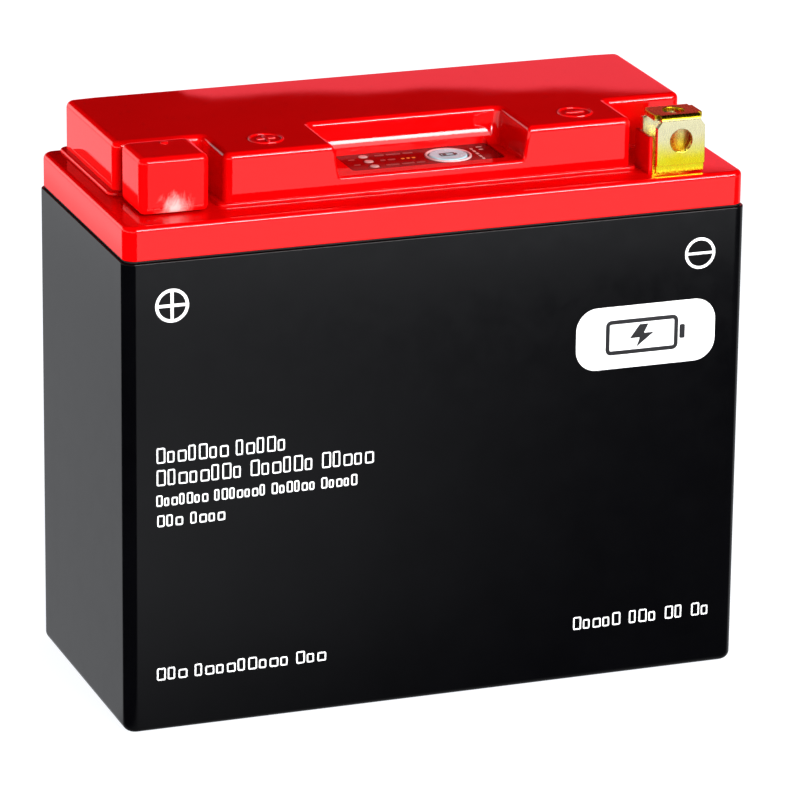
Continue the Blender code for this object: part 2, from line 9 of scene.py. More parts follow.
import bmesh
import bpy
from mathutils import Matrix, Vector


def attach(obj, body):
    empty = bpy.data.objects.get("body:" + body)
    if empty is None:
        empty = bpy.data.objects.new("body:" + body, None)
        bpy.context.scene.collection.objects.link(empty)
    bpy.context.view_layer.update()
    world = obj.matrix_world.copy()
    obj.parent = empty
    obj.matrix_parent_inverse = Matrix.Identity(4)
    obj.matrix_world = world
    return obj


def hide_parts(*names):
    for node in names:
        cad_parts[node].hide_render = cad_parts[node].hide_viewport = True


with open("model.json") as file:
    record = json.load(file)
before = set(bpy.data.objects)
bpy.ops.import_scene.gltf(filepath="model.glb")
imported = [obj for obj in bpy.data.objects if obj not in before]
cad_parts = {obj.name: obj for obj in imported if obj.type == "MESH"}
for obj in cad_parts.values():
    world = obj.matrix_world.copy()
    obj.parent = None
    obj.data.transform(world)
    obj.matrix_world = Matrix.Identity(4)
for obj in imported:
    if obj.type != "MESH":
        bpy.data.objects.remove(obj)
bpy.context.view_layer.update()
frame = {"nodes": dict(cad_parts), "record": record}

MM = 0.001
SCENE = bpy.context.scene

# ---- sizes shared with the CAD model (mm) ----------------------------------------------
LENGTH, WIDTH, CORNER_R = 150.0, 67.0, 3.0
BASE_FILLET, CASE_WALL, CASE_FLOOR = 2.0, 2.2, 2.5
CASE_TOP = 111.95
LID_Z0, LID_STEP_IN = 112.45, 0.45
FLANGE_TOP, BLOCK_TOP = 120.3, 132.5
BLOCK_X, BLOCK_BACK, BLOCK_FRONT = 69.0, 32.0, -23.3
POCKET_BACK, POCKET_L, POCKET_R = -6.8, -48.2, 50.2
LID_SKIN = 2.2
RECESS_FLOOR, RECESS_X0, RECESS_X1, RECESS_BACK, RECESS_DRAFT = 124.7, -22.3, 24.8, -4.4, 1.3
TERM_W, TERM_D, TERM_T, TERM_Z0 = 11.8, 10.3, 1.4, 120.6
NEG_X, NEG_FRONT, NEG_TOP = 59.5, -30.3, 134.1
POS_X, POS_FRONT, POS_TOP = -60.55, -23.9, 132.2
BOLT_HOLE_R, TAIL_W, TAIL_Z0 = 2.75, 8.0, 104.0
RIB_T, RIB_TOP = 1.0, 129.1
CAP_X0, CAP_X1, CAP_Y0, CAP_Y1, CAP_Z0, CAP_Z1, CAP_WALL = -68.7, -52.4, -25.8, -10.7, 120.7, 133.7, 1.2
BUTTON_X, BUTTON_Y, BUTTON_R = 8.8, -13.6, 4.45
LED_X, LED_Y = -10.2, (-8.8, -12.8, -16.8)
PANEL_X0, PANEL_X1, PANEL_Y0, PANEL_Y1 = -16.2, 20.6, -19.4, -6.4
BOARD_Z1, IBOARD_Z1 = 109.1, 117.2
BOSS_XY = ((-42.0, 22.0), (42.0, 22.0), (-42.0, -8.0), (42.0, -8.0))
IBOSS_XY = ((-13.5, -5.2), (17.5, -18.6))
FRONT_Y = -WIDTH / 2
POCKET_FLOOR = RECESS_FLOOR - 0.45          # shallow pocket that the label lies in


# ======================================================================================
#  mesh helpers (mm)
# ======================================================================================
def outline(corners, inset=0.0, seg=8):
    """Counter-clockwise outline from (x, y, radius) corners, moved inwards by inset."""
    n = len(corners)
    pts = []
    for i in range(n):
        p = Vector(corners[i][:2])
        a = (Vector(corners[i - 1][:2]) - p).normalized()
        b = (Vector(corners[(i + 1) % n][:2]) - p).normalized()
        convex = (-a).x * b.y - (-a).y * b.x > 0
        na = Vector((-(-a).y, (-a).x))
        nb = Vector((-b.y, b.x))
        q = p + (na + nb) * inset
        r = corners[i][2]
        r = max(0.02, r - inset) if convex else r + inset
        ta, tb = q + a * r, q + b * r
        centre = q + a * r + b * r
        va, vb = ta - centre, tb - centre
        ang0 = math.atan2(va.y, va.x)
        ang1 = math.atan2(vb.y, vb.x)
        d = (ang1 - ang0 + math.pi) % (2 * math.pi) - math.pi
        for k in range(seg + 1):
            t = ang0 + d * k / seg
            pts.append((centre.x + r * math.cos(t), centre.y + r * math.sin(t)))
    return pts


def stack(loops):
    """Closed solid through a list of (points_xy, z), first loop and last loop capped."""
    bm = bmesh.new()
    rows = [[bm.verts.new((x, y, z)) for x, y in pts] for pts, z in loops]
    n = len(rows[0])
    for lo, hi in zip(rows, rows[1:]):
        for i in range(n):
            j = (i + 1) % n
            bm.faces.new((lo[i], lo[j], hi[j], hi[i]))
    bm.faces.new(list(reversed(rows[0])))
    bm.faces.new(rows[-1])
    return bm


def band(rows_xyz, closed=True):
    """Closed tube of rows: each row is a ring of points, the last row joins the first."""
    bm = bmesh.new()
    rows = [[bm.verts.new(p) for p in row] for row in rows_xyz]
    n = len(rows[0])
    for a, b in zip(rows, rows[1:] + rows[:1]):
        for k in range(n):
            j = (k + 1) % n
            bm.faces.new((a[k], a[j], b[j], b[k]))
    return bm


def rect(x0, x1, y0, y1, r):
    return [(x0, y0, r), (x1, y0, r), (x1, y1, r), (x0, y1, r)]


def bevelled(corners, z0, z1, top=0.0, bottom=0.0, seg=8, steps=5):
    loops = []
    if bottom > 0:
        for k in range(steps + 1):
            t = math.pi / 2 * k / steps
            loops.append((outline(corners, bottom * (1 - math.sin(t)), seg), z0 + bottom * (1 - math.cos(t))))
    else:
        loops.append((outline(corners, 0, seg), z0))
    if top > 0:
        for k in range(steps + 1):
            t = math.pi / 2 * k / steps
            loops.append((outline(corners, top * (1 - math.cos(t)), seg), z1 - top * (1 - math.sin(t))))
    else:
        loops.append((outline(corners, 0, seg), z1))
    return stack(loops)


def box(x0, x1, y0, y1, z0, z1):
    return stack([([(x0, y0), (x1, y0), (x1, y1), (x0, y1)], z0), ([(x0, y0), (x1, y0), (x1, y1), (x0, y1)], z1)])


def ring_pts(x, y, r, seg):
    return [(x + r * math.cos(2 * math.pi * k / seg), y + r * math.sin(2 * math.pi * k / seg)) for k in range(seg)]


def turned(x, y, profile, seg=48):
    return stack([(ring_pts(x, y, r, seg), z) for r, z in profile])


def y_hole(x, z, r, y0, y1, seg=48):
    bm = turned(0, 0, ((r, y0), (r, y1)), seg)
    bmesh.ops.transform(bm, matrix=Matrix(((1, 0, 0, x), (0, 0, 1, 0), (0, -1, 0, z), (0, 0, 0, 1))), verts=bm.verts)
    return bm


def temp(bm):
    bmesh.ops.recalc_face_normals(bm, faces=bm.faces)
    me = bpy.data.meshes.new("temp")
    bm.to_mesh(me)
    bm.free()
    ob = bpy.data.objects.new("temp", me)
    SCENE.collection.objects.link(ob)
    return ob


def evaluated(ob):
    bpy.context.view_layer.update()
    dg = bpy.context.evaluated_depsgraph_get()
    me = bpy.data.meshes.new_from_object(ob.evaluated_get(dg))
    bm = bmesh.new()
    bm.from_mesh(me)
    bpy.data.meshes.remove(me)
    return bm


def solid(base, *steps):
    """Runs cut and fuse steps on a closed mesh and returns the result as a bmesh."""
    ob = temp(base)
    tools = []
    for operation, bm in steps:
        tool = temp(bm)
        tools.append(tool)
        mod = ob.modifiers.new("step", "BOOLEAN")
        mod.operation = operation
        mod.solver = "EXACT"
        mod.object = tool
    out = evaluated(ob)
    for t in tools + [ob]:
        bpy.data.objects.remove(t, do_unlink=True)
    bmesh.ops.remove_doubles(out, verts=out.verts, dist=0.0005)
    return out


def cut(bm):
    return ("DIFFERENCE", bm)


def fuse(bm):
    return ("UNION", bm)


def round_edges(bm, weight_of, width, segments):
    """Rounds the edges for which weight_of(edge) is above 0, in proportion to that weight."""
    ob = temp(bm)
    me = ob.data
    layer = me.attributes.new("bevel_weight_edge", "FLOAT", "EDGE")
    probe = bmesh.new()
    probe.from_mesh(me)
    probe.edges.ensure_lookup_table()
    weights = [weight_of(e) for e in probe.edges]
    probe.free()
    layer.data.foreach_set("value", weights)
    mod = ob.modifiers.new("round", "BEVEL")
    mod.limit_method = "WEIGHT"
    mod.width = width
    mod.segments = segments
    mod.use_clamp_overlap = False
    mod.harden_normals = False
    out = evaluated(ob)
    bpy.data.objects.remove(ob, do_unlink=True)
    bmesh.ops.remove_doubles(out, verts=out.verts, dist=0.0005)
    return out


def sharp_convex(e, limit=40.0):
    if len(e.link_faces) != 2 or not e.is_convex:
        return False
    return e.calc_face_angle(0.0) > math.radians(limit)


def piece(name, bm, body, mat, replaces=(), angle=32.0, weighted=True):
    bmesh.ops.recalc_face_normals(bm, faces=bm.faces)
    bmesh.ops.transform(bm, matrix=Matrix.Scale(MM, 4), verts=bm.verts)
    me = bpy.data.meshes.new(name)
    bm.to_mesh(me)
    bm.free()
    ob = bpy.data.objects.new(name, me)
    SCENE.collection.objects.link(ob)
    me.materials.append(mat)
    me.shade_smooth()
    me.set_sharp_from_angle(angle=math.radians(angle))
    if weighted:
        mod = ob.modifiers.new("weighted", "WEIGHTED_NORMAL")
        mod.keep_sharp = True
        mod.weight = 50
    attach(ob, body)
    if replaces:
        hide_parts(*replaces)
    return ob


# ======================================================================================
#  materials
# ======================================================================================
class Nodes:
    """Short way to write a node tree."""

    def __init__(self, name):
        self.mat = bpy.data.materials.new(name)
        self.mat.use_nodes = True
        self.tree = self.mat.node_tree
        self.bsdf = self.tree.nodes["Principled BSDF"]
        self.coord = self.tree.nodes.new("ShaderNodeTexCoord").outputs["Object"]

    def link(self, a, b):
        self.tree.links.new(a, b)

    def noise(self, scale, detail=2.0, rough=0.5, stretch=None, distortion=0.0, offset=(0, 0, 0)):
        n = self.tree.nodes.new("ShaderNodeTexNoise")
        n.inputs["Scale"].default_value = scale
        n.inputs["Detail"].default_value = detail
        n.inputs["Roughness"].default_value = rough
        n.inputs["Distortion"].default_value = distortion
        src = self.coord
        if stretch or any(offset):
            m = self.tree.nodes.new("ShaderNodeMapping")
            m.inputs["Scale"].default_value = stretch or (1, 1, 1)
            m.inputs["Location"].default_value = offset
            self.link(self.coord, m.inputs["Vector"])
            src = m.outputs["Vector"]
        self.link(src, n.inputs["Vector"])
        return n.outputs["Fac"]

    def ramp(self, fac, stops, ease="LINEAR"):
        r = self.tree.nodes.new("ShaderNodeValToRGB")
        r.color_ramp.interpolation = ease
        while len(r.color_ramp.elements) < len(stops):
            r.color_ramp.elements.new(0.5)
        for e, (pos, col) in zip(r.color_ramp.elements, stops):
            e.position = pos
            if not isinstance(col, tuple):
                col = (col, col, col)
            e.color = (*col, 1.0)
        self.link(fac, r.inputs["Fac"])
        return r.outputs["Color"]

    def span(self, value, a, b, c, d):
        m = self.tree.nodes.new("ShaderNodeMapRange")
        m.interpolation_type = "SMOOTHSTEP"
        for key, v in zip(("From Min", "From Max", "To Min", "To Max"), (a, b, c, d)):
            m.inputs[key].default_value = v
        self.link(value, m.inputs["Value"])
        return m.outputs["Result"]

    def mix(self, fac, a, b, kind="MIX"):
        m = self.tree.nodes.new("ShaderNodeMix")
        m.data_type = "RGBA"
        m.blend_type = kind
        for key, v in ((0, fac), (6, a), (7, b)):
            if isinstance(v, (int, float)):
                m.inputs[key].default_value = v
            elif isinstance(v, tuple):
                m.inputs[key].default_value = (*v, 1.0)
            else:
                self.link(v, m.inputs[key])
        return m.outputs[2]

    def math(self, op, a, b=0.0):
        m = self.tree.nodes.new("ShaderNodeMath")
        m.operation = op
        for i, v in enumerate((a, b)):
            if isinstance(v, (int, float)):
                m.inputs[i].default_value = v
            else:
                self.link(v, m.inputs[i])
        return m.outputs[0]

    def axis(self, which):
        s = self.tree.nodes.new("ShaderNodeSeparateXYZ")
        self.link(self.coord, s.inputs[0])
        return s.outputs[which]

    def distance(self, point):
        v = self.tree.nodes.new("ShaderNodeVectorMath")
        v.operation = "DISTANCE"
        self.link(self.coord, v.inputs[0])
        v.inputs[1].default_value = point
        return v.outputs["Value"]

    def bump(self, height, strength, distance, below=None):
        b = self.tree.nodes.new("ShaderNodeBump")
        b.inputs["Strength"].default_value = strength
        b.inputs["Distance"].default_value = distance
        self.link(height, b.inputs["Height"])
        if below is not None:
            self.link(below, b.inputs["Normal"])
        return b.outputs["Normal"]

    def set(self, **values):
        for key, v in values.items():
            s = self.bsdf.inputs[key.replace("_", " ")]
            if isinstance(v, (int, float)):
                s.default_value = v
            elif isinstance(v, tuple):
                s.default_value = (*v, 1.0)
            else:
                self.link(v, s)
        return self


def plastic(name, low, high, rough, ior, grain=2600.0, grain_depth=0.000010, grain_strength=0.12, mottle=60.0, specular=0.5):
    """Moulded plastic: slight colour mottling, cloudy gloss and a very fine skin."""
    n = Nodes(name)
    cloud = n.noise(mottle, 3.0, 0.55)
    fine = n.noise(grain, 3.0, 0.6)
    broad = n.noise(45.0, 1.0, 0.4)
    n.set(Base_Color=n.ramp(cloud, ((0.3, low), (0.7, high))), IOR=ior, Specular_IOR_Level=specular)
    n.set(Roughness=n.span(n.noise(160.0, 4.0, 0.65), 0.3, 0.7, rough[0], rough[1]))
    skin = n.bump(broad, 0.10, 0.00012)
    n.set(Normal=n.bump(fine, grain_strength, grain_depth, skin))
    return n


# lid: glossy injection-moulded red
lid_n = plastic("lid_red_plastic", (0.60, 0.0004, 0.0008), (0.63, 0.0007, 0.0013), (0.015, 0.03), 1.48, 2400.0, 0.000010, 0.10)
lid_mat = lid_n.mat

# terminal cap: softer red, with a painted highlight: a whitish patch at the lower front centre stands in for a
# reflection on the glossy cap
cap_n = plastic("cap_red_plastic", (0.62, 0.0005, 0.0009), (0.66, 0.0010, 0.0015), (0.04, 0.08), 1.34, 1900.0, 0.000016, 0.22)
_spot = cap_n.distance(((CAP_X0 + CAP_X1) / 2 * MM, CAP_Y0 * MM, 0.1212))
_cloud = cap_n.noise(420.0, 4.0, 0.7, stretch=(1.0, 1.0, 0.55), distortion=0.6)
# painted highlight: paler towards the lower front centre of the cap, with streaky edges from the stretched noise
_cap_painted_highlight = cap_n.span(cap_n.math("SUBTRACT", _spot, cap_n.math("MULTIPLY", _cloud, 0.0085)), -0.0046, 0.0008, 1.0, 0.0)
_old = cap_n.bsdf.inputs["Base Color"].links[0].from_socket
_side = cap_n.math("ABSOLUTE", cap_n.math("SUBTRACT", cap_n.axis(0), (CAP_X0 + CAP_X1) / 2 * MM), 0.0)
_cap_painted_highlight = cap_n.math("MULTIPLY", _cap_painted_highlight, cap_n.span(_side, 0.0012, 0.0062, 1.0, 0.0))
cap_n.set(Base_Color=cap_n.mix(cap_n.math("MULTIPLY", _cap_painted_highlight, 0.74), _old, (0.84, 0.50, 0.48)))
cap_mat = cap_n.mat

# case: black moulded plastic
case_n = plastic("case_black_plastic", (0.0007, 0.0007, 0.0010), (0.0011, 0.0011, 0.0015), (0.12, 0.19), 1.35, 1800.0, 0.000014, 0.16)
case_mat = case_n.mat

seal_n = plastic("seal_black_rubber", (0.004, 0.004, 0.004), (0.008, 0.008, 0.008), (0.55, 0.7), 1.45, 1500.0, 0.00003, 0.3)
seal_mat = seal_n.mat


def brass(name, low, high, rough, grain):
    """Plated strip: rolled grain along the strip, fine speckle, slight tarnish."""
    n = Nodes(name)
    streak = n.noise(900.0, 3.0, 0.7, stretch=(6.0, 0.7, 0.7))
    speck = n.noise(3600.0, 2.0, 0.7)
    stain = n.noise(230.0, 4.0, 0.6, distortion=0.4)
    colour = n.ramp(stain, ((0.30, low), (0.70, high)))
    colour = n.mix(n.span(speck, 0.62, 0.74, 0.0, 0.35), colour, (low[0] * 0.55, low[1] * 0.42, low[2] * 0.3))
    n.set(Base_Color=colour, Metallic=1.0)
    n.set(Roughness=n.span(streak, 0.25, 0.75, rough[0], rough[1]))
    n.set(Normal=n.bump(speck, 0.35 * grain, 0.00002, n.bump(streak, 0.25 * grain, 0.00002)))
    return n


brass_n = brass("terminal_brass_plate", (1.0, 0.80, 0.016), (1.0, 0.94, 0.034), (0.20, 0.32), 0.35)
# painted highlight: the colour turns pale yellow up the upper part of each plate, standing in for the reflection of the
# light; below z 116.4 mm it is a deeper orange
_brass_painted_highlight = brass_n.span(brass_n.math("ADD", brass_n.axis(2), brass_n.math("MULTIPLY", brass_n.noise(260.0, 2.0, 0.5), 0.003)), 0.1250, 0.1320, 0.0, 0.95)
_brass_painted_highlight = brass_n.math("MULTIPLY", _brass_painted_highlight, brass_n.span(brass_n.axis(2), 0.13285, 0.13345, 1.0, 0.0))
_foot = brass_n.span(brass_n.axis(2), 0.1164, 0.1169, 1.0, 0.0)
_body = brass_n.mix(_brass_painted_highlight, brass_n.bsdf.inputs["Base Color"].links[0].from_socket, (0.96, 0.90, 0.58))
# painted shade: above about z 133.3 mm the top of the bracket is a dark brown-gold, standing in for the reflection of
# the dark surroundings
_body = brass_n.mix(brass_n.span(brass_n.axis(2), 0.13285, 0.13345, 0.0, 1.0), _body, (0.60, 0.40, 0.010))
brass_n.set(Base_Color=brass_n.mix(_foot, _body, (1.0, 0.40, 0.003)))
brass_mat = brass_n.mat

# charge indicator
panel_n = plastic("indicator_film", (0.085, 0.0008, 0.0012), (0.115, 0.0016, 0.0020), (0.16, 0.26), 1.36, 3000.0, 0.000012, 0.25)
panel_mat = panel_n.mat
mark_n = plastic("film_print_pale", (0.55, 0.30, 0.28), (0.70, 0.44, 0.42), (0.35, 0.5), 1.45, 3000.0)
dim_n = plastic("film_print_dim", (0.22, 0.05, 0.05), (0.30, 0.08, 0.07), (0.35, 0.5), 1.45, 3000.0)
amber_n = plastic("film_print_amber", (0.75, 0.22, 0.03), (0.85, 0.30, 0.05), (0.35, 0.5), 1.45, 3000.0)
led_n = plastic("light_pipe_clear", (0.62, 0.28, 0.28), (0.78, 0.44, 0.42), (0.10, 0.2), 1.45, 2600.0)
led_n.set(Transmission_Weight=0.25)
button_n = plastic("button_grey", (0.38, 0.60, 0.68), (0.52, 0.76, 0.84), (0.24, 0.36), 1.38, 2600.0, 0.000014, 0.3, mottle=420.0)
bezel_n = plastic("bezel_pink", (0.66, 0.36, 0.37), (0.80, 0.50, 0.50), (0.18, 0.28), 1.5, 2600.0)
dark_n = plastic("button_mark_dark", (0.035, 0.045, 0.05), (0.06, 0.07, 0.075), (0.35, 0.5), 1.45, 2600.0)

# white ink on the case: slightly matt, a little uneven
ink_n = plastic("case_ink_white", (0.86, 0.86, 0.87), (0.93, 0.93, 0.94), (0.38, 0.5), 1.45, 4200.0, 0.000012, 0.35, mottle=700.0)
ink_mat = ink_n.mat
ink_dark_n = plastic("case_ink_dark", (0.010, 0.010, 0.011), (0.016, 0.016, 0.018), (0.35, 0.5), 1.42, 4200.0)

# carried-over pieces inside the case
board_n = plastic("inner_circuit_board", (0.012, 0.12, 0.04), (0.03, 0.20, 0.07), (0.3, 0.45), 1.5, 900.0, 0.00002, 0.3, mottle=900.0)
chip_n = plastic("inner_chip_body", (0.012, 0.012, 0.013), (0.028, 0.028, 0.03), (0.4, 0.6), 1.5, 3000.0, 0.00002, 0.5)
cell_n = plastic("inner_cell_wrap", (0.04, 0.12, 0.36), (0.06, 0.17, 0.46), (0.22, 0.36), 1.5, 1200.0, 0.00003, 0.2)
foam_n = plastic("inner_foam", (0.03, 0.03, 0.034), (0.07, 0.07, 0.075), (0.85, 0.98), 1.4, 1500.0, 0.0003, 0.9, mottle=900.0)
tape_n = plastic("inner_tape", (0.70, 0.36, 0.03), (0.80, 0.46, 0.05), (0.25, 0.4), 1.5, 1200.0, 0.00002, 0.3)
wire_n = plastic("inner_lead_insulation", (0.42, 0.02, 0.02), (0.52, 0.04, 0.04), (0.35, 0.5), 1.5, 1500.0)
nickel_mat = brass("inner_nickel_strip", (0.55, 0.53, 0.49), (0.70, 0.68, 0.63), (0.25, 0.42), 1.0).mat
steel_mat = brass("inner_screw_steel", (0.42, 0.42, 0.43), (0.60, 0.60, 0.61), (0.28, 0.45), 1.2).mat

SLOT_MATS = {
    "case_plastic": case_mat, "lid_plastic": lid_mat, "seal_rubber": seal_mat, "terminal_brass": brass_mat,
    "cap_plastic": cap_mat, "panel_film": panel_mat, "button_plastic": button_n.mat, "light_pipe": led_n.mat,
    "circuit_board": board_n.mat, "chip_plastic": chip_n.mat, "cell_can": cell_n.mat, "link_nickel": nickel_mat,
    "foam": foam_n.mat, "screw_steel": steel_mat, "band_film": tape_n.mat, "lead_insulation": wire_n.mat,
}
for sub in frame["record"]["subparts"]:
    node = frame["nodes"].get(sub["node"])
    if node is None:
        continue
    mat = SLOT_MATS[sub["material_slot"]]
    if not node.material_slots:
        node.data.materials.append(mat)
    for s in node.material_slots:
        s.material = mat


# ======================================================================================
#  case, seal, lid
# ======================================================================================
def case_shell():
    hx, hy = LENGTH / 2, WIDTH / 2
    outer = rect(-hx, hx, -hy, hy, CORNER_R)
    w = CASE_WALL
    inner = rect(-hx + w, hx - w, -hy + w, hy - w, 1.4)
    seg = 12
    loops = []
    for k in range(9):
        t = math.pi / 2 * k / 8
        loops.append((outline(outer, BASE_FILLET * (1 - math.sin(t)), seg), BASE_FILLET * (1 - math.cos(t))))
    for k in range(4):
        t = math.pi / 2 * k / 3
        loops.append((outline(outer, 0.25 * (1 - math.cos(t)), seg), CASE_TOP - 0.25 * (1 - math.sin(t))))
    for k in range(4):
        t = math.pi / 2 * k / 3
        loops.append((outline(inner, -0.25 * (1 - math.sin(t)), seg), CASE_TOP - 0.25 * (1 - math.cos(t))))
    loops.append((outline(inner, 0, seg), CASE_FLOOR))
    return stack(loops)


def seal_ring():
    seg = 12
    rows = []
    ox, oy, ix, iy = LENGTH / 2 - 0.62, WIDTH / 2 - 0.62, LENGTH / 2 - 2.0, WIDTH / 2 - 2.0
    for inset, z in ((0.10, 112.02), (0.0, 112.10), (0.0, 112.32), (0.10, 112.40)):
        rows.append([(x, y, z) for x, y in outline(rect(-ox, ox, -oy, oy, 2.6), inset, seg)])
    for z in (112.40, 112.02):
        rows.append([(x, y, z) for x, y in outline(rect(-ix, ix, -iy, iy, 1.5), 0, seg)])
    return band(rows)


def block_corners(grow_x=0.0, grow_y=0.0, r=1.9, rc=1.0):
    return [(-BLOCK_X - grow_x, POCKET_BACK - grow_y, r), (POCKET_L - grow_x, POCKET_BACK - grow_y, rc),
            (POCKET_L - grow_x, BLOCK_FRONT - grow_y, r), (POCKET_R + grow_x, BLOCK_FRONT - grow_y, r),
            (POCKET_R + grow_x, POCKET_BACK - grow_y, rc), (BLOCK_X + grow_x, POCKET_BACK - grow_y, r),
            (BLOCK_X + grow_x, BLOCK_BACK + min(grow_y, 0.4), r), (-BLOCK_X - grow_x, BLOCK_BACK + min(grow_y, 0.4), r)]


def recess_tool():
    slope = RECESS_DRAFT / (BLOCK_TOP - RECESS_FLOOR)

    def sweep(f, high, z):
        return f * (1.0 - math.sqrt(max(0.0, 1.0 - ((high - z) / high) ** 2))) if z < high else 0.0

    def shape(z):
        lean = RECESS_DRAFT - slope * z
        lx, ly = lean + sweep(0.7, 0.7, z), lean + sweep(2.6, 4.6, z)
        return [(RECESS_X0 + lx, BLOCK_FRONT - 6, 0.3), (RECESS_X1 - lx, BLOCK_FRONT - 6, 0.3),
                (RECESS_X1 - lx, RECESS_BACK - ly, 1.7), (RECESS_X0 + lx, RECESS_BACK - ly, 1.7)]

    return stack([(outline(shape(z), 0, 8), RECESS_FLOOR + z) for z in
                  (0.0, 0.03, 0.1, 0.22, 0.4, 0.7, 1.05, 1.45, 1.9, 2.4, 3.0, 3.7, 4.6, BLOCK_TOP - RECESS_FLOOR + 3.0)])


def block_solid():
    corners = block_corners(0, 0, 2.1, 1.2)
    prism = stack([(outline(corners, 0, 10), FLANGE_TOP - 1.5), (outline(corners, 0, 10), BLOCK_TOP)])
    bm = solid(prism, cut(recess_tool()))

    def weight(e):
        if not sharp_convex(e):
            return 0.0
        a, b = e.verts[0].co, e.verts[1].co
        m = (a + b) / 2
        on_top = abs(a.z - BLOCK_TOP) < 0.01 and abs(b.z - BLOCK_TOP) < 0.01
        in_x = RECESS_X0 - 0.2 < m.x < RECESS_X1 + 0.2
        on_front = abs(a.y - BLOCK_FRONT) < 0.01 and abs(b.y - BLOCK_FRONT) < 0.01
        if on_top:
            return 0.68 if (in_x and m.y > BLOCK_FRONT + 0.02) else 1.0
        if on_front and in_x and m.z > RECESS_FLOOR - 0.05:
            return 0.52
        return 0.0

    return round_edges(bm, weight, 1.6, 6)


def lid_shell():
    hx, hy = LENGTH / 2 - LID_STEP_IN, WIDTH / 2 - LID_STEP_IN
    sx, sy = LENGTH / 2 - CASE_WALL - 0.4, WIDTH / 2 - CASE_WALL - 0.4
    s = LID_SKIN
    ix, iy = sx - 1.6, sy - 1.6
    steps = [
        fuse(bevelled(rect(-sx, sx, -sy, sy, 1.2), 108.6, LID_Z0 + 1.0, seg=8)),
        fuse(bevelled(block_corners(1.4, 0.7, 2.1, 0.8), FLANGE_TOP - 1.0, FLANGE_TOP + 0.8, top=0.45, seg=10, steps=4)),
        fuse(block_solid()),
    ]
    for side, start, rib_top in ((-1, 1.7, RIB_TOP), (1, TERM_D - 6.4, RIB_TOP - 1.2)):
        xa, xb = NEG_X + side * (TERM_W / 2 + 0.35), NEG_X + side * (TERM_W / 2 + RIB_T + 0.35)
        steps.append(fuse(bevelled(rect(min(xa, xb), max(xa, xb), NEG_FRONT + start, NEG_FRONT + TERM_D, 0.35),
                                   FLANGE_TOP - 1, rib_top, top=0.3, seg=4, steps=3)))
    steps += [
        cut(box(-ix, ix, -iy, iy, 100, FLANGE_TOP - s)),
        cut(box(-BLOCK_X + s, BLOCK_X - s, RECESS_BACK + s, iy - 0.1, 116, BLOCK_TOP - s)),
        cut(box(POCKET_L + s, RECESS_X0 - s - 0.3, BLOCK_FRONT + s, 0.5, 116, BLOCK_TOP - s)),
        cut(box(RECESS_X1 + s + 0.3, POCKET_R - s, BLOCK_FRONT + s, 0.5, 116, BLOCK_TOP - s)),
        cut(box(RECESS_X0 - s - 1, RECESS_X1 + s + 1, BLOCK_FRONT + s, 0.5, 116, RECESS_FLOOR - s)),
    ]
    for x, front in ((NEG_X, NEG_FRONT), (POS_X, POS_FRONT)):
        yb = front + TERM_D
        steps.append(cut(box(x - TAIL_W / 2 - 0.4, x + TAIL_W / 2 + 0.4, yb - TERM_T - 0.4, yb + 0.4, 115, 122)))
    for x, y in BOSS_XY:
        steps.append(fuse(turned(x, y, ((3.0, BOARD_Z1 + 0.3), (3.0, BLOCK_TOP - 1)), 32)))
        steps.append(cut(turned(x, y, ((1.65, BOARD_Z1 - 1), (1.65, 119.0)), 24)))
    for x, y in IBOSS_XY:
        steps.append(fuse(turned(x, y, ((1.9, IBOARD_Z1 + 0.3), (1.9, RECESS_FLOOR - 1)), 24)))
        steps.append(cut(turned(x, y, ((1.1, IBOARD_Z1 - 1), (1.1, 121.2)), 20)))
    g = 0.15
    steps.append(cut(bevelled(rect(PANEL_X0 - g, PANEL_X1 + g, PANEL_Y0 - g, PANEL_Y1 + g, 1.0), POCKET_FLOOR, RECESS_FLOOR + 3.0, seg=6)))
    steps.append(cut(turned(BUTTON_X, BUTTON_Y, ((BUTTON_R + 0.35, 121), (BUTTON_R + 0.35, 127)), 64)))
    for y in LED_Y:
        steps.append(cut(turned(LED_X, y, ((1.45, 121), (1.45, 127)), 32)))
    flange = bevelled(rect(-hx, hx, -hy, hy, CORNER_R), LID_Z0, FLANGE_TOP, top=1.25, bottom=0.2, seg=12, steps=6)
    return solid(flange, *steps)


case_ob = piece("case_shell", case_shell(), "battery", case_mat, ("case",))
seal_ob = piece("seal_bead", seal_ring(), "battery", seal_mat, ("lid_seal",))
lid_ob = piece("lid_shell", lid_shell(), "battery", lid_mat, ("lid",), angle=28.0)


def soft_ring(x, y, r_in, r_out, z0, z1, seg=64):
    """Raised ring with a rounded crest."""
    mid, half = (r_in + r_out) / 2, (r_out - r_in) / 2
    rows = [[(px, py, z0) for px, py in ring_pts(x, y, r_out, seg)]]
    for k in range(7):
        t = math.pi * k / 6
        rows.append([(px, py, z0 + 0.35 * (z1 - z0) + 0.65 * (z1 - z0) * math.sin(t)) for px, py in
                     ring_pts(x, y, mid + half * math.cos(t), seg)])
    rows.append([(px, py, z0) for px, py in ring_pts(x, y, r_in, seg)])
    return band(rows)


def lid_mark(name, x, y, minus):
    z0, z1 = BLOCK_TOP - 0.25, BLOCK_TOP + 0.33
    ring = soft_ring(x, y, 3.45, 4.1, z0, z1)
    bar = bevelled(rect(x - 2.3, x + 2.3, y - 0.42, y + 0.42, 0.3), z0, z1, top=0.28, seg=4, steps=4)
    steps = [fuse(bar)]
    if not minus:
        steps.append(fuse(bevelled(rect(x - 0.42, x + 0.42, y - 2.3, y + 2.3, 0.3), z0, z1, top=0.28, seg=4, steps=4)))
    return piece(name, solid(ring, *steps), "battery", lid_mat, angle=40)


lid_mark("lid_plus_mark", -35.4, -14.1, False)
lid_mark("lid_minus_mark", 39.3, -14.9, True)


